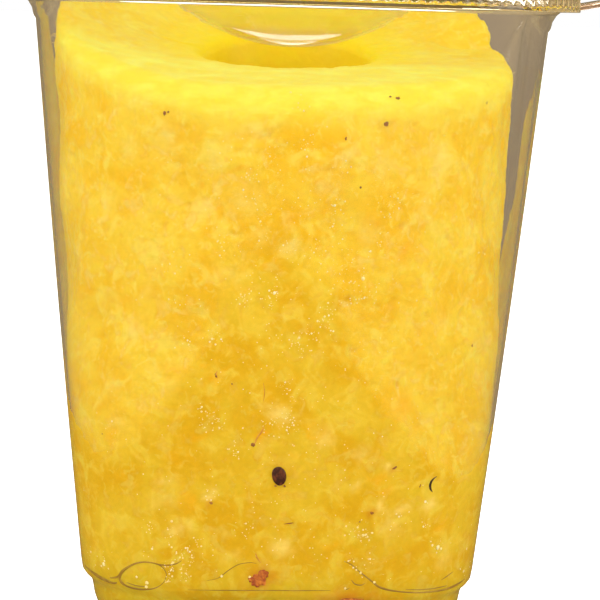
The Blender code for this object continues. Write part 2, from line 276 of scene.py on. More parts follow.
# Over the ledge the flesh stands back a little in the corners, within limits that wander.
LEDGE_AIR = 0.05 * MM
CORNER_FROM, CORNER_FULL = 12.0 * MM, 18.0 * MM
LEDGE_LOW, LEDGE_OVER, LEDGE_FULL, LEDGE_END = 6.5 * MM, 8.5 * MM, 13.0 * MM, 24.0 * MM
WANDER = 5.0 * MM


def relief_field():
    """Seeded waves round the fruit: the coarse hollows that the peeling knife left."""
    draw = random.Random(RELIEF_SEED)
    waves = []
    for _ in range(RELIEF_WAVES):
        turns = draw.randint(2, 15)
        rise = draw.uniform(-260.0, 260.0)
        waves.append((turns, rise, draw.uniform(0, math.tau), draw.uniform(0.4, 1.0)))
    total = sum(wave[3] for wave in waves)
    return lambda angle, z: 3.0 * sum(size * math.sin(turns * angle + rise * z + phase)
                                      for turns, rise, phase, size in waves) / total


TUB_HEIGHTS, TUB_HALVES, TUB_CORNERS = zip(*TUB_PROFILE)


def tub_size_at(height):
    """Half width and corner radius of the tub's inside at one height."""
    return [(float(np.interp(height / MM, TUB_HEIGHTS, outside)) - WALL) * MM
            for outside in (TUB_HALVES, TUB_CORNERS)]


def wall_distance(angle, height):
    """Distance from the tub's axis to its inner wall, in one direction."""
    half, corner = tub_size_at(height)
    inset = half - corner
    across, along = abs(math.cos(angle)), abs(math.sin(angle))
    if across < along:
        across, along = along, across
    if half * along <= inset * across:
        return half / across
    turn = inset * (across + along)
    return turn + math.sqrt(max(0.0, corner ** 2 - 2 * inset ** 2 + turn ** 2))


def step_up(low, high, value):
    """0 below the low limit, 1 above the high one, smooth between."""
    share = min(1.0, max(0.0, (value - low) / (high - low)))
    return share * share * (3 - 2 * share)


def softer_min(one, other, edge):
    """The smaller of two, rounded where they meet."""
    return (one + other - math.sqrt((one - other) ** 2 + edge ** 2)) / 2


def cut_height(x, y):
    """Height of the slanted cut top."""
    behind = max(0.0, y)
    steeper = 1.0 + max(0.0, y - CUT_STEEPER_FROM) / CUT_STEEPER_OVER
    lifted = CUT_RISE * behind ** 2
    lifted += CUT_SWELL * steeper * max(0.0, -x - CUT_SWELL_FROM) ** 2
    lifted += CUT_TWIST * behind * max(0.0, x - CUT_TWIST_FROM)
    bite = BITE_DEPTH * math.exp(-((y - BITE_MIDDLE) / BITE_HALF) ** 2)
    left_standing = BITE_BACK * step_up(BITE_MIDDLE, BITE_MIDDLE + 1.6 * BITE_HALF, y)
    lifted += step_up(BITE_FROM, BITE_FULL, x) * (left_standing - bite)
    return softer_min(CUT_HEIGHT + CUT_SLOPE * y + lifted, CUT_LIMIT, CUT_LIMIT_ROUND)


relief = relief_field()


def lumps(x, y, z):
    """Soft lumps, small hollows and pits of the flesh, in metres."""
    spot = Vector((x, y, z)) / MM
    soft = 0.34 * noise.noise(spot / 6.5) + 0.17 * noise.noise(spot / 2.6)
    torn = 0.26 * noise.noise(spot / 1.5)
    pit = max(0.0, noise.noise(spot / 2.1 + Vector((31.0, 7.0, 12.0))) - 0.4)
    return (soft + torn - 1.5 * pit) * MM


def side_point(angle, low, share):
    """A point of the side wall of the flesh, and how wetly it touches the tub."""
    z = low + share * (CUT_HEIGHT - low)
    for _ in range(2):
        x, y, touch = side_reach(angle, z)
        z = low + share * (cut_height(x, y) - low)
    return side_reach(angle, z)[:2] + (z, touch)


def side_reach(angle, z):
    """Where the side stands in one direction at one height, and how wetly it touches the tub."""
    above = (z - FRUIT_MID_HEIGHT) / (CUT_HEIGHT - FRUIT_MID_HEIGHT)
    lean = LEAN_MID + max(0.0, above) * (LEAN_TOP - LEAN_MID)
    own = FRUIT_RADIUS_MID + max(0.0, above) * (FRUIT_RADIUS_TOP - FRUIT_RADIUS_MID)
    own += step_up(0.0, 1.0, -above * SQUEEZE_RATE) * (SQUEEZED_RADIUS - own)
    c, s = math.cos(angle), math.sin(angle)
    free = own + lean * c + RELIEF * relief(angle, z) + lumps(own * c, own * s, z)
    held = wall_distance(angle, z) + INTO_WALL
    along = min(abs(held * c), abs(held * s))
    wander = noise.noise(Vector((own * c, own * s, z * 1.5)) / WANDER) * WANDER
    corner = step_up(CORNER_FROM, CORNER_FULL, along + wander)
    ledge = step_up(LEDGE_LOW, LEDGE_OVER, z) * step_up(LEDGE_END, LEDGE_FULL, z + wander)
    held -= LEDGE_AIR * corner * ledge
    reach = softer_min(free, held, SQUEEZE_ROUND)
    return reach * c, reach * s, step_up(TOUCH_FROM, TOUCH_FULL, free - held)


def cut_point(angle, radius, drop, share=1.0):
    """A point of the slanted cut face, or of the core hole's wall below it."""
    x = radius * math.cos(angle) + LEAN_MID
    y = radius * math.sin(angle)
    fibre = 0.16 * noise.noise(Vector((angle * 24.0, radius / MM / 7.0, 3.0)))
    fibre += 0.22 * noise.noise(Vector((x, y, 0.0)) / (4.0 * MM))
    top = cut_height(x, y) + fibre * MM - drop
    return x, y, FRUIT_BOTTOM + share * (top - FRUIT_BOTTOM)


angles = [math.tau * step / ANGLE_STEPS for step in range(ANGLE_STEPS)]
flesh_rings, touching = [], []
for level in range(FOOT_STEPS):
    z = FRUIT_BOTTOM + (FOOT_TOP - FRUIT_BOTTOM) * level / FOOT_STEPS
    ring = [side_reach(angle, z) for angle in angles]
    round_foot = 1.0 - FOOT_ROUND * max(0.0, 1.0 - level / FOOT_ROUND_STEPS) ** 2
    flesh_rings.append([(x * round_foot, y * round_foot, z) for x, y, _ in ring])
    touching.append([touch for _, _, touch in ring])
for level in range(SIDE_STEPS + 1):
    ring = [side_point(angle, FOOT_TOP, level / SIDE_STEPS) for angle in angles]
    flesh_rings.append([point[:3] for point in ring])
    touching.append([point[3] for point in ring])

# The edge of the cut is worn round, most of all in front, and crumbled on the right.
EDGE_STEPS = 9
EDGE_ROUND_BACK = 2.2 * MM
EDGE_ROUND_FRONT = 5.0 * MM
EDGE_CRUMBS = 1.3 * MM
EDGE_REACH = 3.0 * MM
crown = flesh_rings.pop()
touching.pop()


def edge_size(angle):
    """Radius of the worn edge in one direction."""
    crumbled = EDGE_CRUMBS * (0.35 + step_up(0.6, 0.95, math.cos(angle - 0.2)))
    ragged = noise.noise(Vector((math.cos(angle) * 16, math.sin(angle) * 16, 2.0)))
    worn = step_up(0.0, 1.0, -math.sin(angle)) * (EDGE_ROUND_FRONT - EDGE_ROUND_BACK)
    return EDGE_ROUND_BACK + worn + crumbled * ragged


edge_round = [edge_size(angle) for angle in angles]


def worn_drop(step, inward):
    """The worn edge's fall this far in from the side, or how far in it lies at this depth."""
    size = edge_round[step]
    return size - math.sqrt(max(0.0, size ** 2 - max(0.0, size - inward) ** 2))


kept = [index for index, ring in enumerate(flesh_rings)
        if min(top[2] - point[2] for top, point in zip(crown, ring)) > 0.2 * MM]
flesh_rings = [flesh_rings[index] for index in kept]
touching = [touching[index] for index in kept]
for index, ring in enumerate(flesh_rings):
    for step, (x, y, z) in enumerate(ring):
        depth = crown[step][2] - z
        size = edge_round[step]
        if depth < size:
            pull = 1.0 - worn_drop(step, depth) / math.hypot(x, y)
            rise = (cut_height(x * pull, y * pull) - crown[step][2]) * (1 - depth / size)
            ring[step] = (x * pull, y * pull, z + rise)
            touching[index][step] *= step_up(0.25, 1.0, depth / size)
for level in range(1, EDGE_STEPS):
    ring = []
    for step, (x, y, _) in enumerate(flesh_rings[len(kept) - 1]):
        reach = math.hypot(x, y) - level / EDGE_STEPS * EDGE_REACH
        px, py = x / math.hypot(x, y) * reach, y / math.hypot(x, y) * reach
        inward = math.hypot(crown[step][0], crown[step][1]) - reach
        ring.append((px, py, cut_height(px, py) - worn_drop(step, inward)))
    flesh_rings.append(ring)
edge_ring = flesh_rings[-1]
CUT_STEPS = 24
LIP_RADIUS, LIP_DEPTH = 20.0 * MM, 2.4 * MM
FIBRES_FROM, FIBRES_FULL = 3 * MM, 8 * MM
for level in range(1, CUT_STEPS + 1):
    share = level / CUT_STEPS
    ring = []
    for step, angle in enumerate(angles):
        x, y, _ = edge_ring[step]
        near = cut_point(angle, LIP_RADIUS, 0.0)
        px, py = x + share * (near[0] - x), y + share * (near[1] - y)
        radius = math.hypot(px - LEAN_MID, py)
        there = cut_point(math.atan2(py, px - LEAN_MID), radius, 0.0)
        inward = math.hypot(crown[step][0], crown[step][1]) - math.hypot(px, py)
        smoothed = (there[2] - cut_height(px, py)) * step_up(FIBRES_FULL, FIBRES_FROM, inward)
        ring.append((px, py, there[2] - worn_drop(step, inward) - smoothed))
    flesh_rings.append(ring)
# The lip of the hole is worn round too.
for radius, drop in ((19.1, 0.1), (18.4, 0.28), (17.8, 0.55), (17.3, 0.9), (16.9, 1.35),
                     (16.6, 1.85), (16.5, 2.4)):
    flesh_rings.append([cut_point(angle, radius * MM, drop * MM) for angle in angles])
CORE_STEPS = 26
for level in range(1, CORE_STEPS):
    share = 1.0 - level / CORE_STEPS
    ring = []
    for angle in angles:
        z = FRUIT_BOTTOM + share * (CUT_HEIGHT - FRUIT_BOTTOM)
        wave = 0.25 * noise.noise(Vector((math.cos(angle) * 3, math.sin(angle) * 3, z / (9 * MM))))
        ring.append(cut_point(angle, CORE_RADIUS + wave * MM, LIP_DEPTH, share))
    flesh_rings.append(ring)
for radius in (17.4, 24.0):
    flesh_rings.append([(radius * MM * math.cos(angle) + LEAN_MID, radius * MM * math.sin(angle),
                         FRUIT_BOTTOM) for angle in angles])
touching += [[0.0] * ANGLE_STEPS] * (len(flesh_rings) - len(touching))


# Marks of the front wall in mm: place across and up, half width, half height, tilt in degrees,
# strength. Milky patches are young fibre seen end on; clefts are the seams between fruitlets.
MILKY_PATCHES = (
    (-29.7, 93.6, 1.7, 1.9, 0, 0.6), (-22.4, 96.3, 2.2, 2.8, 10, 0.7),
    (-13.3, 92.5, 1.5, 2.2, -10, 0.7), (-6.3, 98.5, 2.8, 2.0, 0, 0.8),
    (-33.6, 83.4, 1.5, 2.6, -5, 0.6), (-15.5, 83.7, 1.9, 1.7, 0, 0.6), (-7.7, 85.2, 2.4, 2.4, 20, 0.8),
    (-39.0, 85.4, 0.9, 1.1, 0, 0.6), (-25.9, 81.5, 0.9, 1.3, 0, 0.5), (0.9, 77.0, 1.7, 1.1, 0, 0.9),
    (-4.3, 79.1, 1.5, 1.5, 0, 0.7), (-39.7, 72.1, 1.3, 2.6, 0, 0.5), (-10.4, 71.8, 2.6, 1.3, 0, 0.6),
    (-25.6, 67.4, 0.9, 2.2, 30, 0.5), (-27.7, 59.9, 1.3, 1.7, -30, 0.8),
    (10.6, 93.1, 1.1, 2.6, 25, 0.9), (17.8, 92.2, 1.7, 2.2, 0, 0.6), (28.4, 93.7, 1.7, 3.7, 0, 0.6),
    (32.0, 92.6, 0.7, 0.7, 0, 0.6), (38.0, 86.6, 0.9, 2.6, 0, 0.5), (26.0, 85.1, 1.1, 3.0, 20, 0.7),
    (15.0, 80.0, 1.7, 2.2, 0, 0.6), (22.3, 80.7, 0.9, 0.9, 0, 0.8), (35.5, 76.7, 0.9, 2.0, 15, 0.4),
    (29.8, 63.0, 1.5, 1.7, 10, 0.5), (34.9, 66.6, 1.7, 0.9, 0, 0.4), (-31.8, 48.6, 1.5, 1.5, 0, 0.4),
    (-20.8, 49.9, 1.5, 1.1, 0, 0.4), (-30.8, 42.3, 1.5, 1.3, 30, 0.5), (-21.0, 31.8, 1.5, 0.9, 0, 0.6),
    (-21.0, 28.1, 2.0, 1.5, 0, 0.5), (-12.9, 29.3, 0.9, 1.1, 0, 0.9), (-19.0, 22.8, 0.9, 0.9, 0, 0.9),
    (-16.6, 23.3, 1.1, 1.5, 0, 0.5), (-0.0, 45.5, 2.0, 1.3, 20, 0.9), (1.0, 19.7, 1.7, 1.5, 20, 0.9),
    (-8.0, 17.7, 1.5, 1.1, 0, 0.4), (8.5, 41.3, 1.1, 1.9, -10, 0.6), (27.6, 44.4, 2.2, 0.7, -15, 0.6),
    (20.4, 36.0, 1.1, 1.1, 0, 1), (15.3, 38.3, 1.1, 1.5, 10, 0.6), (19.0, 28.2, 0.9, 0.9, 0, 1),
    (28.3, 28.1, 1.1, 0.9, 0, 0.9), (23.7, 27.8, 0.9, 0.9, 0, 0.8), (14.4, 32.0, 0.7, 0.7, 0, 0.7),
    (21.8, 24.3, 1.9, 1.9, 0, 0.5), (31.9, 17.9, 1.5, 2.2, 0, 0.6), (-18.5, 106.2, 2.2, 1.5, 30, 0.7),
    (-34.8, 110.1, 2.6, 1.1, 0, 0.5), (-28.0, 103.0, 3.1, 1.5, 0, 0.6),
    (-9.9, 105.1, 2.6, 1.5, 0, 0.6), (11.2, 103.0, 4.1, 1.7, 0, 0.7), (34.2, 107.8, 1.9, 1.1, 0, 0.4),
    (7.9, 89.5, 3.0, 2.2, 0, 0.4), (-11.7, 96.8, 1.5, 1.9, 0, 0.5),
)
CLEFTS = (
    (-15.8, 88.5, 0.7, 2.0, 8, 1), (-12.3, 82.4, 0.6, 1.7, 25, 0.8), (-3.8, 96.6, 0.7, 0.6, 0, 0.6),
    (1.5, 81.9, 0.9, 1.7, 0, 0.7), (-24.7, 71.3, 0.9, 1.1, 0, 0.6), (-7.7, 68.7, 1.9, 1.1, 0, 0.5),
    (-30.1, 65.0, 1.1, 1.3, 0, 0.5), (-27.6, 60.8, 0.6, 1.5, -35, 0.5), (31.1, 89.5, 1.5, 0.9, 0, 0.6),
    (22.5, 76.2, 0.9, 1.9, 15, 0.7), (7.3, 84.0, 1.1, 0.9, 0, 0.5), (19.8, 65.8, 1.1, 0.9, 0, 0.6),
    (-19.5, 53.4, 2.2, 0.9, 0, 0.5), (-12.5, 52.0, 1.3, 1.3, 0, 0.7), (-31.7, 39.2, 1.3, 1.5, 0, 0.5),
    (-19.2, 36.3, 1.5, 1.5, 0, 0.4), (-16.7, 28.0, 1.3, 2.2, 0, 0.6), (-34.0, 44.3, 1.1, 1.1, 0, 0.4),
    (22.6, 46.8, 2.0, 1.3, -10, 0.7), (6.2, 42.2, 0.7, 1.5, -20, 0.8), (18.8, 33.4, 1.5, 0.9, 0, 0.6),
    (20.0, 31.1, 1.5, 0.7, 0, 0.5), (30.7, 23.7, 1.1, 1.3, 0, 0.6), (26.9, 103.2, 2.2, 1.1, 0, 0.5),
    (-34.6, 101.5, 1.5, 1.1, 0, 0.4), (19.4, 104.6, 0.7, 0.6, 0, 0.5), (-14.4, 54.4, 1.1, 0.7, 0, 0.5),
    (-2.4, 50.4, 0.6, 2.2, 5, 0.5), (-3.3, 41.6, 0.4, 2.0, 25, 0.9), (-9.2, 90.9, 0.4, 0.4, 0, 0.8),
    (17.0, 82.0, 0.6, 0.7, 0, 0.6), (-15.2, 40.8, 1.1, 0.6, 0, 0.7), (3.2, 37.9, 0.9, 0.6, 0, 0.5),
    (-29.7, 32.3, 0.9, 1.3, 0, 0.3), (10.1, 20.4, 1.7, 0.6, -15, 0.5),
)
RUSTY_HALOS = (
    (-2.9, 13.7, 2.0, 1.9, 0, 1.0), (14.0, 9.2, 4.8, 2.0, 0, 1.0), (18.0, 99.8, 0.8, 0.9, 0, 0.5),
    (0.3, 34.1, 1.9, 2.6, -8, 0.35), (17.7, 27.0, 0.8, 0.6, 20, 0.6), (-12.5, 28.0, 0.7, 0.6, 0, 0.6),
    (21.7, 35.8, 1.2, 0.5, -60, 0.5),
)

flesh_bm = loft(flesh_rings, joined=True)
bmesh.ops.recalc_face_normals(flesh_bm, faces=flesh_bm.faces)
flesh_tree = BVHTree.FromBMesh(flesh_bm)


def on_front(x, z):
    """Point and outward direction of the flesh's front at one place across and up, in mm."""
    point, normal, _, _ = flesh_tree.ray_cast(Vector((x * MM, -0.2, z * MM)), Vector((0, 1, 0)))
    return point, normal if normal.y < 0 else -normal


def on_side(angle, z):
    """The same for any direction round the fruit, given as an angle from +X."""
    out = Vector((math.cos(angle), math.sin(angle), 0))
    point, normal, _, _ = flesh_tree.ray_cast(out * 0.2 + Vector((0, 0, z * MM)), -out)
    return point, normal if normal.dot(out) > 0 else -normal


def unseen_marks(seed, count, wide, high):
    """Marks of the same kinds for the sides that the front view doesn't show."""
    draw = random.Random(seed)
    marks = []
    for _ in range(count):
        angle = draw.uniform(0.0, math.pi)
        z = draw.uniform(5.0, 104.0)
        marks.append(on_side(angle, z) + (draw.uniform(*wide), draw.uniform(*high),
                                          draw.uniform(-35, 35), draw.uniform(0.4, 0.9)))
    return marks


def level_along(normal):
    """The level direction along the surface, for a surface that faces this way."""
    return Vector((-normal.y, normal.x, 0)).normalized()


def mark_strength(coords, marks):
    """How strongly each vertex lies inside soft, ragged oval marks on the surface."""
    ragged = 0.55 * MM * np.sin(coords[:, 2] / (1.3 * MM) + coords[:, 0] / (0.9 * MM))
    ragged += 0.4 * MM * np.sin(coords[:, 0] / (0.55 * MM) - coords[:, 2] / (0.7 * MM))
    total = np.zeros(len(coords))
    for point, normal, wide, high, tilt, strength in marks:
        offset = coords - np.array(point)
        near = np.abs(offset).max(1) < 4 * max(wide, high) * MM
        part = offset[near]
        side = part @ np.array(level_along(normal)) + ragged[near]
        up = part[:, 2] + 0.6 * ragged[near]
        c, s = math.cos(math.radians(tilt)), math.sin(math.radians(tilt))
        a, b = side * c - up * s, side * s + up * c
        value = strength * np.exp(-((a / (wide * MM)) ** 2 + (b / (high * MM)) ** 2) * 0.8)
        total[near] = np.maximum(total[near], value)
    return total


def flesh_material():
    """Wet golden flesh: soft light inside, milky and orange patches, fine fibre and pits."""
    material = emptied(bpy.data.materials.new("pineapple_flesh_wet"))
    attribute = {name: add_node(material, "Attribute", {}, attribute_name=name).outputs["Fac"]
                 for name in ("touch", "milky", "cleft", "rust", "cut", "lemon_top_light", "core")}
    place = add_node(material, "TexCoord", {}).outputs["Object"]
    height = add_node(material, "SeparateXYZ", {0: place}).outputs[2]
    cloud = noise_value(material, 95.0, 3.0, 0.8)
    patch = noise_value(material, 230.0, 4.0, 0.9)
    fleck = noise_value(material, 520.0, 3.0, 1.2)
    vein = noise_value(material, 300.0, 3.0, 0.8)
    strand = noise_value(material, 300.0, 3.0, 0.7)
    grain = noise_value(material, 1100.0, 2.0, 0.4)
    colour = mix_colours(material, ramp(material, cloud, 0.36, 0.64), (0.91, 0.515, 0.013, 1),
                         (0.94, 0.61, 0.04, 1))
    for pattern, low, high, strength, tint in (
            (patch, 0.49, 0.7, 0.75, (0.96, 0.69, 0.09, 1)),
            (vein, 0.53, 0.68, 0.7, (0.89, 0.43, 0.003, 1)),
            (fleck, 0.54, 0.74, 0.5, (0.96, 0.72, 0.13, 1)),
            (strand, 0.54, 0.72, 0.5, (0.97, 0.75, 0.16, 1))):
        colour = mix_colours(material, ramp(material, pattern, low, high, 0.0, strength), colour, tint)
    # Wet flesh is deeper in colour. Lower down the flesh is darker, most of all in the foot: painted shade.
    wet = maths(material, "MULTIPLY", attribute["touch"], ramp(material, patch, 0.35, 0.65, 0.74, 0.44))
    for share, tint in ((wet, (0.82, 0.79, 0.42, 1)),
                        (ramp(material, height, 5 * MM, 100 * MM, 0.62, 0.0), (0.84, 0.85, 0.5, 1)),
                        (ramp(material, height, 3 * MM, 18 * MM, 0.75, 0.0), (0.72, 0.83, 0.66, 1))):
        colour = mix_colours(material, share, colour, tint, "MULTIPLY")
    milk = maths(material, "MULTIPLY", attribute["milky"], ramp(material, patch, 0.3, 0.6, 0.3, 0.8))
    deep = maths(material, "MULTIPLY", attribute["cleft"], ramp(material, fleck, 0.3, 0.6, 0.45, 0.85))
    # The cut's lemon colour is partly painted light: the top is made lighter as if lit from above.
    streak = noise_value(material, 160.0, 4.0, 0.5, (1, 1, 2.5))
    lemon_top_light = mix_colours(material, ramp(material, streak, 0.35, 0.7), (0.98, 0.74, 0.055, 1),
                        (0.99, 0.84, 0.1, 1))
    # The core's deep yellow is made brighter than the flesh to make up for the shade in the hole: partly
    # painted light.
    for share, tint in ((milk, (0.95, 0.69, 0.15, 1)), (deep, (0.9, 0.41, 0.002, 1)),
                        (attribute["rust"], (0.66, 0.24, 0.008, 1)), (attribute["lemon_top_light"], lemon_top_light),
                        (attribute["core"], (1.0, 0.7, 0.008, 1))):
        colour = mix_colours(material, share, colour, tint)
    shade = ramp(material, grain, 0.3, 0.7, 0.97, 1.02)
    toned = add_node(material, "HueSaturation", {"Value": shade, "Color": colour}).outputs[0]
    bumps = maths(material, "ADD", patch, maths(material, "MULTIPLY", grain, 0.35))
    dry = maths(material, "SUBTRACT", 1.0, maths(material, "MULTIPLY", attribute["touch"], 0.85))
    height_map = maths(material, "MULTIPLY", bumps, dry)
    rough = maths(material, "ADD", ramp(material, grain, 0.35, 0.7, 0.3, 0.5),
                  maths(material, "MULTIPLY", attribute["cut"], 0.3))
    flesh = add_node(material, "BsdfPrincipled", {
        "Base Color": toned, "Roughness": rough, "IOR": 1.36, "Specular IOR Level": 0.16,
        "Normal": bump(material, height_map, 0.5, 0.4), "Subsurface Weight": 0.55,
        "Subsurface Radius": (1.0, 0.5, 0.12), "Subsurface Scale": 2.6 * MM}).outputs[0]
    return finished(material, flesh)


def front_marks(rows):
    return [on_front(x, z) + (wide, high, tilt, strength) for x, z, wide, high, tilt, strength in rows]


milky_marks = front_marks(MILKY_PATCHES) + unseen_marks(3, 150, (0.9, 2.8), (0.9, 2.8))
cleft_marks = front_marks(CLEFTS) + unseen_marks(4, 90, (0.5, 1.6), (0.9, 2.2))
rusty_marks = front_marks(RUSTY_HALOS) + unseen_marks(5, 14, (0.7, 1.6), (0.7, 1.6))
flesh = add_piece("pineapple_flesh", flesh_bm, flesh_material(), sharp=80)
coords = np.zeros(len(flesh.data.vertices) * 3)
flesh.data.vertices.foreach_get("co", coords)
coords = coords.reshape(-1, 3)
across_top = np.hypot(coords[:, 0] - LEAN_MID, coords[:, 1])
depth_here = np.array([cut_height(x, y) for x, y in coords[:, :2]]) - coords[:, 2]
inside_core = across_top < CORE_RADIUS + 0.5 * MM
rings_tree = KDTree(len(flesh_rings) * ANGLE_STEPS)
for index, point in enumerate(point for ring in flesh_rings for point in ring):
    rings_tree.insert(point, index)
rings_tree.balance()
wet_by_ring = [value for ring in touching for value in ring]
wetness = np.array([wet_by_ring[rings_tree.find(vert.co)[1]] for vert in flesh.data.vertices])
# The cut is lemon yellow, partly painted light from above on its paler tone, less so behind, and deep
# yellow round the hole, further out behind.
BEHIND_FROM, BEHIND_FULL = -17.0 * MM, -7.0 * MM
LEMON_END, LEMON_FULL, LEMON_LOST = 9.0 * MM, 1.0 * MM, 0.72
# The deep yellow round and in the hole is brightened against the hole's shade: partly painted light.
CORE_EDGE, CORE_EDGE_BEHIND = 6.0 * MM, 10.0 * MM
smooth_share = np.vectorize(step_up)
behind = smooth_share(BEHIND_FROM, BEHIND_FULL, coords[:, 1])
on_cut = smooth_share(LEMON_END, LEMON_FULL, depth_here) * ~inside_core
sides = {
    "touch": wetness,
    "milky": mark_strength(coords, milky_marks),
    "cleft": mark_strength(coords, cleft_marks),
    "rust": mark_strength(coords, rusty_marks),
    "cut": on_cut,
    "lemon_top_light": on_cut * (1 - LEMON_LOST * behind),
    "core": smooth_share(CORE_EDGE + CORE_EDGE_BEHIND * behind, 0.4 * MM, across_top - CORE_RADIUS)
    * np.clip(0.85 + depth_here / (5 * MM), 0, 1),
}
for name, values in sides.items():
    layer = flesh.data.attributes.new(name, "FLOAT", "POINT")
    layer.data.foreach_set("value", np.asarray(values, dtype=np.float32))
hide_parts("pineapple")
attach(flesh, "root")


# ----------------------------------------
# Seeds and specks. A few ripe seeds, and brown bits of eye and peel that the knife missed: hard,
# shiny and dark, pressed flat between the flesh and the wall.
def flat_pebble(bm, point, normal, wide, high, tilt, out, ragged=0.0, seed=0.0):
    """One oval bit sunk in the surface: flat on the wall's side, deeper behind."""
    made = bmesh.ops.create_icosphere(bm, subdivisions=3, radius=1.0)["verts"]
    across = level_along(normal)
    c, s = math.cos(math.radians(tilt)), math.sin(math.radians(tilt))
    for vert in made:
        a, b, d = vert.co.x * wide * MM, vert.co.z * high * MM, vert.co.y
        if ragged:
            grow = 1.0 + ragged * noise.noise(vert.co * 1.7 + Vector((seed, 0, 0)))
            a, b = a * grow, b * grow
        a, b = a * c + b * s, -a * s + b * c
        sunk = d * (out if d > 0 else 0.7) * MM
        vert.co = point + across * a + normal * sunk + Vector((0, 0, b))


def speck_material(name, colour, light, rough, grain_scale):
    """Shiny skin with a lighter worn grain."""
    material = emptied(bpy.data.materials.new(name))
    grain = noise_value(material, grain_scale, 4.0, 0.6)
    tone = mix_colours(material, ramp(material, grain, 0.42, 0.72), colour, light)
    skin = add_node(material, "BsdfPrincipled", {
        "Base Color": tone, "Roughness": rough, "IOR": 1.45,
        "Normal": bump(material, grain, 0.5, 0.12)}).outputs[0]
    return finished(material, skin)


def add_details(name, bm, *skin):
    """A piece made of many small bits of one skin, with the flesh's slot."""
    piece = add_piece(name, bm, speck_material(*skin), sharp=60)
    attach(piece, "root")


seeds_bm = bmesh.new()
flat_pebble(seeds_bm, *on_front(0.1, 33.8), 1.35, 2.05, -9, 0.3)
draw = random.Random(11)
for angle, z in ((0.25, 71.0), (0.9, 36.0), (1.8, 58.0), (2.3, 22.0), (3.0, 82.0), (3.3, 44.0)):
    flat_pebble(seeds_bm, *on_side(angle, z), 1.2, 1.95, draw.uniform(-40, 40), 0.3)
add_details("seeds", seeds_bm,
            "seed_coat", (0.035, 0.006, 0.003, 1), (0.16, 0.035, 0.012, 1), 0.28, 900.0)

# Bits of eye: torn red-brown skin at the bottom of the pits that the knife cut out.
eyes_bm = bmesh.new()
for x, z, wide, high, tilt, seed in (
        (-3.1, 13.5, 1.35, 1.25, 20, 1.0), (-2.3, 14.5, 0.9, 1.0, 30, 2.0), (-4.6, 13.3, 0.7, 0.5, 0, 3.0),
        (-3.6, 12.6, 0.9, 0.7, 0, 4.0), (11.8, 9.2, 1.6, 1.2, 0, 4.0), (14.6, 10.0, 2.0, 1.3, -15, 5.0),
        (17.4, 9.6, 1.6, 1.0, 0, 6.0), (13.8, 8.4, 2.2, 1.4, 0, 7.0)):
    flat_pebble(eyes_bm, *on_front(x, z), wide, high, tilt, 0.16, 0.5, seed)
for angle, z in ((0.5, 26.0), (1.35, 90.0), (2.0, 12.0), (2.9, 33.0), (3.5, 16.0)):
    flat_pebble(eyes_bm, *on_side(angle, z), 1.2, 1.1, draw.uniform(-40, 40), 0.16, 0.5, angle)
    flat_pebble(eyes_bm, *on_side(angle + 0.02, z + 0.6), 0.9, 0.8, draw.uniform(-40, 40), 0.16, 0.5, z)
add_details("eye_remnants", eyes_bm,
            "torn_eye", (0.36, 0.06, 0.006, 1), (0.75, 0.24, 0.02, 1), 0.35, 900.0)

# Small brown specks and hair-thin bits of peel.
SIDE_SPECKS = 48
specks_bm = bmesh.new()
for x, z, wide, high, tilt in (
        (-22.9, 100.8, 0.35, 0.5, 0), (-22.2, 101.0, 0.2, 0.2, 0), (18.0, 99.8, 0.45, 0.6, 0),
        (10.6, 97.2, 0.2, 0.35, 0), (18.6, 104.9, 0.25, 0.2, 0), (20.1, 104.6, 0.5, 0.35, 0),
        (37.6, 103.9, 0.22, 0.28, 0), (13.6, 88.3, 0.2, 0.22, 0), (-12.5, 28.0, 0.28, 0.24, 0),
        (17.7, 27.0, 0.32, 0.26, 30), (21.7, 35.8, 0.5, 0.18, -35), (-4.9, 39.5, 0.4, 0.42, 30),
        (-0.5, 31.7, 0.2, 0.2, 0), (1.2, 31.7, 0.22, 0.22, 0), (-12.1, 52.6, 0.2, 0.45, -10),
        (-9.1, 51.0, 0.14, 0.14, 0), (36.2, 57.5, 0.16, 0.3, 0), (-33.4, 39.6, 0.12, 0.12, 0),
        (2.3, 24.5, 0.9, 0.1, -8), (15.5, 25.2, 0.14, 0.12, 0), (26.6, 32.2, 0.1, 0.4, 20)):
    flat_pebble(specks_bm, *on_front(x, z), wide, high, tilt, 0.1, 0.5, x)
for _ in range(SIDE_SPECKS):
    angle, z = draw.uniform(0.0, math.pi), draw.uniform(8.0, 102.0)
    flat_pebble(specks_bm, *on_side(angle, z), draw.uniform(0.12, 0.4), draw.uniform(0.12, 0.5),
                draw.uniform(-60, 60), 0.1, 0.5, angle)
add_details("specks", specks_bm,
            "brown_peel", (0.26, 0.085, 0.01, 1), (0.5, 0.2, 0.02, 1), 0.4, 1600.0)


# ----------------------------------------
# Juice. What has run out of the flesh wets it on the wall and fills the ledge. Where it meets trapped air
# it makes a bubble and froth. Thin dark lines paint the shade at the meniscus edges, and fine pale beads
# paint glints.
TUBE_SIDES, TUBE_RISE, THINNEST = 6, 0.6, 0.03
ROUTE_STEPS = 4


def tube(bm, places, radii, closed=False):
    """A fine tube lying on the surface, through points given with their outward directions."""
    rings = []
    for index, (point, out) in enumerate(places):
        before = places[index - 1][0] if index or closed else point
        after = places[(index + 1) % len(places)][0] if index + 1 < len(places) or closed else point
        across = (after - before).cross(out).normalized()
        turns = [math.tau * side / TUBE_SIDES for side in range(TUBE_SIDES)]
        rings.append([point + radii[index] * MM
                      * (math.cos(turn) * across + TUBE_RISE * math.sin(turn) * out)
                      for turn in turns])
    skin(bm, rings, closed)


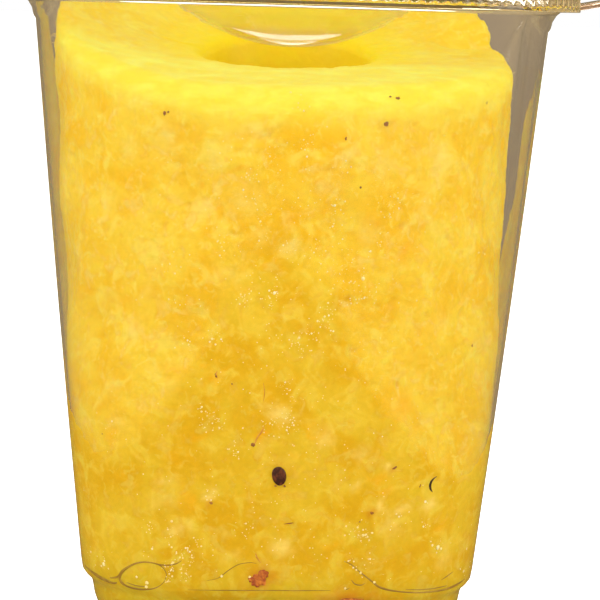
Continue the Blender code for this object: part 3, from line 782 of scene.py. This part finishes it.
def smooth_route(spots, closed=False):
    """Rows of numbers on a smooth curve through these rows."""
    spots = [Vector(spot) for spot in spots]
    count = len(spots)
    rows = []
    for index in range(count if closed else count - 1):
        ends = [index - 1, index, index + 1, index + 2]
        a, b, c, d = [spots[end % count] if closed else spots[min(max(end, 0), count - 1)]
                      for end in ends]
        for step in range(ROUTE_STEPS):
            t = step / ROUTE_STEPS
            rows.append(0.5 * (2 * b + (c - a) * t + (2 * a - 5 * b + 4 * c - d) * t ** 2
                               + (3 * b - a - 3 * c + d) * t ** 3))
    return rows if closed else rows + [spots[-1]]


def wet_line(bm, spots, place=on_front, closed=False):
    """A line through rows of place across (or angle from +X), place up and half width, in mm."""
    rows = smooth_route(spots, closed)
    tube(bm, [place(row[0], row[1]) for row in rows], [max(THINNEST, row[2]) for row in rows], closed)


# The bubble's rim and the lines over the ledge, dark tubes that paint the shade at the meniscus edges:
# place across and up, and half width, in mm.
BUBBLE = (
    (-29.6, 11.9, 0.34), (-29.1, 13.2, 0.3), (-27.6, 14.6, 0.2), (-25.9, 15.5, 0.15),
    (-24.2, 15.8, 0.14), (-22.4, 15.6, 0.14), (-21.2, 14.9, 0.1), (-20.6, 13.6, 0.07),
    (-21.2, 12.0, 0.06), (-22.6, 10.9, 0.1), (-24.2, 10.4, 0.2), (-26.0, 10.2, 0.26),
    (-28.0, 10.4, 0.3), (-29.2, 11.0, 0.34),
)
WET_LINES = (
    ((-36.9, 11.8, 0.1), (-35.4, 11.4, 0.3), (-33.7, 10.9, 0.42), (-32.2, 10.6, 0.42),
     (-30.9, 10.5, 0.3), (-30.1, 10.8, 0.1)),
    ((-31.6, 11.4, 0.08), (-30.8, 11.6, 0.16), (-30.0, 12.0, 0.18), (-29.5, 12.9, 0.1)),
    ((-22.4, 15.6, 0.14), (-20.7, 15.5, 0.13), (-18.9, 15.9, 0.12), (-17.8, 16.6, 0.05)),
    ((-28.2, 11.2, 0.05), (-26.6, 10.9, 0.1), (-25.2, 10.9, 0.08), (-24.4, 11.0, 0.04)),
    ((12.8, 17.4, 0.04), (14.2, 16.8, 0.09), (15.6, 15.6, 0.12), (16.9, 14.6, 0.14),
     (18.3, 13.5, 0.16), (19.4, 12.6, 0.2), (21.0, 12.0, 0.2), (23.4, 11.5, 0.14),
     (26.4, 11.1, 0.14), (29.4, 10.9, 0.16), (32.6, 10.9, 0.24), (34.6, 11.2, 0.26),
     (36.2, 11.7, 0.1)),
    ((24.6, 11.9, 0.04), (27.4, 11.6, 0.1), (30.4, 11.5, 0.12), (32.6, 11.6, 0.06)),
    ((14.3, 13.8, 0.05), (15.0, 13.0, 0.13), (16.1, 12.8, 0.12), (16.9, 13.2, 0.04)),
    ((12.9, 12.3, 0.04), (13.4, 11.9, 0.1), (14.0, 12.2, 0.04)),
    ((-13.0, 12.8, 0.03), (-10.8, 13.4, 0.07), (-9.0, 14.9, 0.08), (-7.0, 16.2, 0.07),
     (-4.8, 16.6, 0.06), (-3.6, 16.4, 0.03)),
    ((-16.5, 10.9, 0.04), (-10.0, 11.0, 0.09), (-3.0, 11.2, 0.1), (4.5, 11.4, 0.09), (10.4, 11.6, 0.04)),
    ((31.4, 12.9, 0.04), (32.6, 13.5, 0.13), (33.7, 14.1, 0.05)),
)
lines_bm = bmesh.new()
wet_line(lines_bm, BUBBLE, closed=True)
for spots in WET_LINES:
    wet_line(lines_bm, spots)
draw = random.Random(23)
for corner in (0.25 * math.pi, 0.75 * math.pi):
    for start, length, z in ((-0.3, 0.34, 11.3), (0.02, 0.3, 11.0), (-0.16, 0.2, 12.0)):
        wet_line(lines_bm, [(corner + start + length * share, z + draw.uniform(-0.4, 0.4),
                             draw.uniform(0.12, 0.3) if 0 < share < 1 else 0.04)
                            for share in (0, 0.25, 0.5, 0.75, 1)], on_side)
# The meniscus lines are painted shade: dark amber tubes for the dark edges that bent light gives where
# juice meets air.
add_details("meniscus_shade_lines", lines_bm,
            "meniscus_painted_shade", (0.33, 0.165, 0.006, 1), (0.46, 0.26, 0.012, 1), 0.35, 300.0)

# Pale beads, which paint the glints of the wet flesh and make the froth: place across and up of each little
# cluster on the front, in mm. Single beads have their radius too, and the froth's clusters their spread.
BEAD_CLUSTERS = (
    (-3.2, 94.0), (-6.4, 90.2), (-6.5, 85.8), (-4.9, 83.3), (-3.9, 79.5), (0.8, 76.7), (-3.1, 68.9),
    (-2.5, 67.4), (-7.3, 67.3), (-17.3, 58.7), (-12.5, 59.9), (2.6, 58.9), (-11.4, 77.5), (-21.3, 72.5),
    (-19.6, 66.5), (10.6, 92.2), (3.5, 95.9), (9.7, 84.6), (8.9, 81.3), (17.3, 78.1), (20.5, 85.2),
    (18.9, 83.5), (5.9, 76.1), (11.7, 75.6), (9.2, 72.8), (14.6, 71.3), (11.8, 70.0), (16.0, 68.7),
    (13.4, 67.4), (8.5, 65.7), (8.2, 63.4), (38.1, 75.0), (5.3, 61.0), (-14.4, 45.6), (-13.2, 43.0),
    (-11.4, 44.6), (2.7, 59.1), (1.1, 50.5), (3.0, 48.6), (1.7, 44.2), (-8.1, 37.8), (-12.9, 29.5),
    (-19.7, 21.3), (-24.1, 23.1), (-5.3, 23.9), (-1.7, 44.5), (1.9, 44.0), (14.1, 23.7), (27.7, 24.4),
    (30.3, 19.8), (35.9, 13.5), (17.5, 17.6), (16.8, 22.7), (23.4, 26.0), (2.7, 103.1), (-35.6, 14.7),
    (-33.0, 14.0), (-32.4, 41.7), (14.7, 16.7), (16.2, 22.6),
)
SINGLE_BEADS = (
    (-32.8, 13.8, 0.45), (-33.3, 13.3, 0.25), (30.5, 19.7, 0.5), (31.1, 19.3, 0.35), (29.4, 20.2, 0.28),
    (36.3, 18.0, 0.28), (35.9, 13.5, 0.38), (35.2, 14.2, 0.22), (16.2, 22.6, 0.3), (18.6, 13.4, 0.3),
    (-24.3, 11.7, 0.42), (-24.4, 10.9, 0.36), (-26.3, 12.6, 0.28), (-10.2, 13.8, 0.28), (-19.8, 24.2, 0.28),
    (15.2, 15.8, 0.22), (16.0, 15.2, 0.26), (-23.4, 18.5, 0.25), (13.2, 12.1, 0.26), (-4.9, 13.8, 0.26),
    (27.7, 29.0, 0.3), (-1.7, 68.4, 0.34), (14.6, 71.3, 0.42), (8.9, 84.9, 0.3),
)
FROTH = ((-20.9, 15.1, 0.9), (-19.4, 15.9, 0.9), (-18.0, 17.4, 1.0), (-16.4, 18.6, 1.1), (-14.6, 20.3, 1.0),
         (-19.6, 14.0, 1.0), (-17.6, 15.2, 1.3), (-16.0, 16.6, 1.2), (-17.2, 13.6, 1.0), (-20.3, 12.6, 0.7))
BEAD_SMALLEST, BEAD_RANGE, BEAD_RISE = 0.06, 0.17, 0.5
FRONT_BEADS, SIDE_CLUSTERS, SIDE_BEADS = 420, 90, 260
SIDE_RADIUS = 44
beads_bm = bmesh.new()


def bead(point, normal, size):
    """One small pale lens on the surface; as a glint it is painted light, in the froth it is a bubble."""
    made = bmesh.ops.create_icosphere(beads_bm, subdivisions=1, radius=size * MM)["verts"]
    for vert in made:
        vert.co = point + vert.co - normal * vert.co.dot(normal) * (1 - BEAD_RISE)


def bead_cluster(place, x, z, spread, count, per=1.0):
    """Beads scattered round one place, most of them tiny, with this many mm in a step of x."""
    for _ in range(count):
        across, up = draw.gauss(0, 0.5) * spread, draw.gauss(0, 0.6) * spread
        bead(*place(x + across / per, z + up), BEAD_SMALLEST + BEAD_RANGE * draw.random() ** 3)


for x, z in BEAD_CLUSTERS:
    bead_cluster(on_front, x, z, 1.8, draw.randint(8, 16))
for _ in range(FRONT_BEADS):
    across = max(-33.0, min(33.0, draw.gauss(3.0, 13.0)))
    bead(*on_front(across, draw.uniform(14.0, 98.0)), BEAD_SMALLEST + 0.07 * draw.random())
for x, z, spread in FROTH:
    bead_cluster(on_front, x, z, spread, 12)
for x, z, size in SINGLE_BEADS:
    bead(*on_front(x, z), size)
for _ in range(SIDE_CLUSTERS):
    angle, height = draw.uniform(0.0, math.pi), draw.uniform(14.0, 98.0)
    bead_cluster(on_side, angle, height, 1.3, draw.randint(5, 12), per=SIDE_RADIUS)
for _ in range(SIDE_BEADS):
    angle, height = draw.uniform(0.0, math.tau), draw.uniform(12.0, 100.0)
    bead(*on_side(angle, height), 0.07 + 0.08 * draw.random())
# The beads' pale cream colour paints the glints as painted highlights, and gives the froth its own
# paleness.
add_details("glint_and_froth_beads", beads_bm,
            "froth_and_painted_glint", (0.97, 0.76, 0.26, 1), (0.99, 0.85, 0.46, 1), 0.16, 1200.0)

# Loose fibres: pale threads that stand out of the torn edge, and orange hairs in the seams.
fibres_bm = bmesh.new()
for angle, z, reach, rise, size in (
        (3.18, 113.9, 1.5, 0.1, 0.22), (3.2, 113.2, 1.1, 0.7, 0.16), (3.22, 112.4, 0.9, -0.2, 0.14),
        (3.16, 110.2, 0.7, 0.3, 0.12), (3.24, 107.0, 0.6, -0.3, 0.12), (6.18, 108.9, 0.7, 0.4, 0.14),
        (6.22, 104.2, 0.6, -0.2, 0.12), (0.06, 100.6, 0.6, 0.2, 0.12), (0.9, 112.0, 1.0, 0.5, 0.16),
        (2.2, 110.0, 1.1, 0.2, 0.16), (1.5, 108.0, 0.9, -0.4, 0.14)):
    root, out = on_side(angle, z)
    tip = root + out * reach * MM + Vector((0, 0, rise * MM))
    upward = Vector((0, 0, 1))
    tube(fibres_bm, [(root - out * 0.5 * MM, upward), (root + out * 0.1 * MM, upward),
                     ((root + tip) / 2 + Vector((0, 0, 0.1 * MM)), upward), (tip, upward)],
         [size, size, 0.7 * size, 0.25 * size])
add_details("loose_fibres", fibres_bm,
            "pale_fibre", (0.9, 0.68, 0.22, 1), (0.97, 0.82, 0.42, 1), 0.4, 700.0)

hairs_bm = bmesh.new()
for spots in (((-2.8, 43.2, 0.03), (-3.4, 42.0, 0.14), (-4.2, 40.8, 0.16), (-4.7, 39.2, 0.05)),
              ((-3.9, 18.6, 0.03), (-3.6, 17.6, 0.15), (-2.8, 16.6, 0.05)),
              ((-3.3, 51.4, 0.03), (-3.0, 49.6, 0.09), (-3.2, 47.8, 0.03)),
              ((-11.9, 53.4, 0.05), (-12.1, 52.6, 0.2), (-11.8, 52.0, 0.05))):
    wet_line(hairs_bm, spots)
for _ in range(7):
    angle, height = draw.uniform(0.2, 2.9), draw.uniform(15.0, 90.0)
    wet_line(hairs_bm, [(angle + 0.006 * math.sin(share * 4), height - 3.5 * share,
                         0.14 if 0 < share < 1 else 0.03) for share in (0, 0.35, 0.7, 1)], on_side)
add_details("orange_hairs", hairs_bm,
            "seam_hair", (0.62, 0.24, 0.01, 1), (0.75, 0.36, 0.02, 1), 0.4, 500.0)

# A chip of seed coat on edge, on the right: dark rim, pale inside.
chip_bm = bmesh.new()
wet_line(chip_bm, ((29.7, 33.8, 0.05), (28.9, 33.2, 0.2), (28.5, 32.3, 0.26), (28.6, 31.4, 0.2),
                   (29.0, 30.8, 0.05)))
add_details("seed_chip", chip_bm,
            "chip_rim", (0.03, 0.012, 0.004, 1), (0.1, 0.05, 0.02, 1), 0.3, 900.0)


# ----------------------------------------
# Lid. Clear sheet pressed into a flat panel with a round dish in its middle, a raised rim that
# stiffens it and a ribbed skirt that grips the flange. A tongue on one side is for pulling it off.
LID_STEPS = 960
RIBS = 160
RIB_DEPTH = 0.28
PANEL_UNDER = 122.6
PANEL_CORNER = 28.8
DISH_RADIUS = 25.0
DISH_DEPTH = 9.6
RIM_INNER = 51.2
RIM_TOP = 127.6
SKIRT_HALF = 54.5
SKIRT_BOTTOM = 121.3
SKIRT_CORNER = 31.0
LID_SHEET = 0.6
PANEL_TOP = 123.2
DISH_EDGE = 25.6
DISH_RINGS = 16


def dish_height(radius):
    """How far the panel hangs down at this distance from the dish's middle, in mm."""
    ball = (DISH_RADIUS ** 2 + DISH_DEPTH ** 2) / (2 * DISH_DEPTH)
    return math.sqrt(ball ** 2 - radius ** 2) - (ball - DISH_DEPTH)


def dish_rings(lift):
    """The dish from its edge to its middle, on its underside or lifted to the upper side."""
    rings = []
    for step in range(DISH_RINGS):
        radius = DISH_RADIUS * (1 - step / DISH_RINGS)
        rings.append(ring_mm(radius, radius, PANEL_UNDER - dish_height(radius) + lift, LID_STEPS))
    return rings


def ribbed(half, height, depth):
    """A ring of the skirt with upright ribs pressed in."""
    corner = SKIRT_CORNER - (SKIRT_HALF - half)
    outer = ring_mm(half, corner, height, LID_STEPS)
    inner = ring_mm(half - depth, corner - depth, height, LID_STEPS)
    ring = []
    for step, (far, near) in enumerate(zip(outer, inner)):
        share = 0.5 - 0.5 * math.cos(math.tau * step * RIBS / LID_STEPS)
        ring.append(tuple(a + share * (b - a) for a, b in zip(far, near)))
    return ring


crest = (RIM_INNER + SKIRT_HALF) / 2
lid_rings = dish_rings(LID_SHEET)[::-1]
lid_rings += rings_mm(LID_STEPS, (
    (DISH_EDGE, DISH_EDGE, PANEL_TOP), (RIM_INNER - 1.6, PANEL_CORNER, PANEL_TOP),
    (RIM_INNER - 0.9, PANEL_CORNER, 123.3), (RIM_INNER - 0.25, PANEL_CORNER, 123.6),
    (RIM_INNER, PANEL_CORNER, 124.1), (RIM_INNER + 0.25, PANEL_CORNER, 126.3),
    (RIM_INNER + 0.45, PANEL_CORNER + 0.2, 127.0),
    (crest - 0.7, PANEL_CORNER + 1.0, 127.5), (crest - 0.2, PANEL_CORNER + 1.1, RIM_TOP),
    (crest + 0.2, SKIRT_CORNER - 1.1, RIM_TOP), (crest + 0.7, SKIRT_CORNER - 1.0, 127.5),
    (SKIRT_HALF - 0.5, SKIRT_CORNER - 0.2, 127.1), (SKIRT_HALF - 0.2, SKIRT_CORNER, 126.6)))
lid_rings += [ribbed(SKIRT_HALF - 0.15, 126.2, 0.0), ribbed(SKIRT_HALF - 0.13, 125.8, RIB_DEPTH),
              ribbed(SKIRT_HALF - 0.05, 122.4, RIB_DEPTH), ribbed(SKIRT_HALF, 122.0, 0.0)]
lid_rings += rings_mm(LID_STEPS, (
    (SKIRT_HALF, SKIRT_CORNER, SKIRT_BOTTOM + 0.12), (SKIRT_HALF - 0.12, SKIRT_CORNER, SKIRT_BOTTOM),
    (SKIRT_HALF - 0.5, SKIRT_CORNER - 0.5, SKIRT_BOTTOM),
    (SKIRT_HALF - 0.6, SKIRT_CORNER - 0.6, SKIRT_BOTTOM + 0.12)))
lid_rings += [ribbed(SKIRT_HALF - 0.6, 122.0, 0.0), ribbed(SKIRT_HALF - 0.65, 122.4, RIB_DEPTH),
              ribbed(SKIRT_HALF - 0.73, 125.8, RIB_DEPTH), ribbed(SKIRT_HALF - 0.75, 126.2, 0.0)]
lid_rings += rings_mm(LID_STEPS, (
    (SKIRT_HALF - 0.8, SKIRT_CORNER - 0.6, 126.5), (crest + 0.5, SKIRT_CORNER - 1.2, 127.0),
    (crest - 0.5, PANEL_CORNER + 1.2, 127.0), (RIM_INNER + 0.9, PANEL_CORNER + 0.6, 126.5),
    (RIM_INNER + 0.6, PANEL_CORNER + 0.6, 123.5), (RIM_INNER - 0.3, PANEL_CORNER, PANEL_UNDER),
    (DISH_EDGE, DISH_EDGE, PANEL_UNDER)))
lid_rings += dish_rings(0.0)
lid_plastic = clear_plastic("lid_clear_plastic", (0.985, 0.98, 0.96, 1), (1.0, 0.94, 0.8, 1),
                            60.0, 0.12, 1.28)
lid_shell = add_piece("lid_shell", loft(lid_rings), lid_plastic, sharp=50)
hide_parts("lid")
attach(lid_shell, "root")

# Pull tab: a tongue of the same sheet that slopes up, tinted warm all over: painted light, for the light
# that runs to its edge.
TAB_REACH, TAB_WIDTH, TAB_THICKNESS = 11.0 * MM, 22.0 * MM, 1.2 * MM
TAB_FROM, TAB_LIFT = 54.2 * MM, 0.1 * MM
TAB_CORNER, TAB_EDGE = 6.0 * MM, 0.3 * MM
TAB_SLOPE = math.radians(11.0)
TAB_LIGHT_TINT = (0.95, 0.74, 0.62, 1)
tab_bm = bmesh.new()
bmesh.ops.create_cube(tab_bm, size=1.0)
bmesh.ops.scale(tab_bm, vec=(TAB_REACH, TAB_WIDTH, TAB_THICKNESS), verts=tab_bm.verts)
bmesh.ops.translate(tab_bm, vec=(TAB_REACH / 2, 0, TAB_THICKNESS / 2), verts=tab_bm.verts)
upright = [e for e in tab_bm.edges if abs(e.verts[0].co.z - e.verts[1].co.z) > TAB_THICKNESS / 2]
bmesh.ops.bevel(tab_bm, geom=[e for e in upright if e.verts[0].co.x > TAB_REACH / 2],
                offset=TAB_CORNER, segments=12, affect="EDGES", profile=0.5, material=-1)
rim_edges = [e for e in tab_bm.edges if len(e.link_faces) == 2
             and e.calc_face_angle() > 1.0 and e.verts[0].co.x + e.verts[1].co.x > 0.4 * MM]
bmesh.ops.bevel(tab_bm, geom=rim_edges, offset=TAB_EDGE, segments=3, affect="EDGES", profile=0.5,
                material=-1)
for vert in tab_bm.verts:
    vert.co.z += vert.co.x * math.tan(TAB_SLOPE)
bmesh.ops.translate(tab_bm, vec=(TAB_FROM, 0, SKIRT_BOTTOM * MM + TAB_LIFT), verts=tab_bm.verts)
pull_tab = add_piece("pull_tab", tab_bm,
                     clear_plastic("tab_clear_plastic", TAB_LIGHT_TINT, None, 90.0, 0.2, 1.45))
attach(pull_tab, "root")


# ----------------------------------------
# Studio. Pale paper floor, soft lamps, and a camera level with the rim, half a metre in front,
# looking down by six degrees and rolled by under two.
floor_material = emptied(bpy.data.materials.new("floor_paper"))
floor_grain = ramp(floor_material, noise_value(floor_material, 14.0, 2.0), 0.3, 0.7)
floor_tone = mix_colours(floor_material, floor_grain, (0.86, 0.86, 0.86, 1), (0.92, 0.92, 0.92, 1))
floor_seen = add_node(floor_material, "LightPath", {}).outputs["Is Camera Ray"]
paper = add_node(floor_material, "BsdfPrincipled", {
    "Base Color": floor_tone, "Roughness": 0.8, "Emission Color": (1, 1, 1, 1),
    "Emission Strength": floor_seen})
finished(floor_material, paper.outputs[0])
floor_bm = bmesh.new()
bmesh.ops.create_grid(floor_bm, x_segments=2, y_segments=2, size=30.0)
floor = add_piece("floor", floor_bm, floor_material, outward=False)
floor.visible_glossy = False
floor.visible_transmission = False

for name, place, size, power, aim in (
        ("left", (-0.72, -0.45, 0.46), (0.5, 0.5), 3.7, (0, 0, 0.07)),
        ("right", (0.76, -0.39, 0.36), (0.5, 0.5), 3.4, (0, 0, 0.06)),
        ("front", (-0.06, -0.75, 0.66), (0.4, 0.4), 0.8, (0, 0, 0.07)),
        ("top", (0.02, -0.34, 0.78), (0.45, 0.3), 1.25, (0, 0, 0.1)),
        ("back", (0.0, 0.6, 0.37), (0.1, 0.2), 0.16, (0, 0, 0.115))):
    lamp = bpy.data.lights.new(name, "AREA")
    lamp.shape = "ELLIPSE" if name == "back" else "RECTANGLE"
    lamp.size, lamp.size_y = size
    lamp.energy = power
    holder = bpy.data.objects.new(name, lamp)
    holder.location = place
    holder.rotation_euler = (Vector(aim) - Vector(place)).to_track_quat("-Z", "Y").to_euler()
    bpy.context.scene.collection.objects.link(holder)

# The room is white where the camera looks straight at it, and lights the flesh softly. What the
# clear plastic lets through is grey-brown, what it mirrors is darker, and both are warmer above.
world = emptied(bpy.data.worlds.new("studio"))
place = add_node(world, "TexCoord", {}).outputs["Generated"]
upward = ramp(world, add_node(world, "SeparateXYZ", {0: place}).outputs[2], 0.0, 0.25)
mirrored = mix_colours(world, upward, (0.18, 0.13, 0.06, 1), (0.6, 0.47, 0.27, 1))
let_through = mix_colours(world, upward, (0.33, 0.25, 0.17, 1), (0.9, 0.66, 0.32, 1))
rays = add_node(world, "LightPath", {}).outputs
seen_room = mix_colours(world, rays["Is Glossy Ray"], (0.52, 0.52, 0.52, 1), mirrored)
seen_room = mix_colours(world, rays["Is Transmission Ray"], seen_room, let_through)
seen_room = mix_colours(world, rays["Is Camera Ray"], seen_room, (1, 1, 1, 1))
room = add_node(world, "Background", {"Color": seen_room})
add_node(world, "OutputWorld", {"Surface": room.outputs[0]})
bpy.context.scene.world = world
bpy.context.scene.view_settings.view_transform = "Standard"

CAMERA_PLACE = (3.06 * MM, -520 * MM, 120.3 * MM)
CAMERA_DOWN, CAMERA_ROLL = 6.36, 1.68
camera_data = bpy.data.cameras.new("camera")
camera_data.lens = 156.0
camera_data.sensor_width = 36.0
camera_data.clip_start = 0.01
camera = bpy.data.objects.new("camera", camera_data)
camera.matrix_world = (Matrix.Translation(CAMERA_PLACE)
                       @ Matrix.Rotation(math.radians(90 - CAMERA_DOWN), 4, "X")
                       @ Matrix.Rotation(math.radians(CAMERA_ROLL), 4, "Z"))
bpy.context.scene.collection.objects.link(camera)
bpy.context.scene.camera = camera
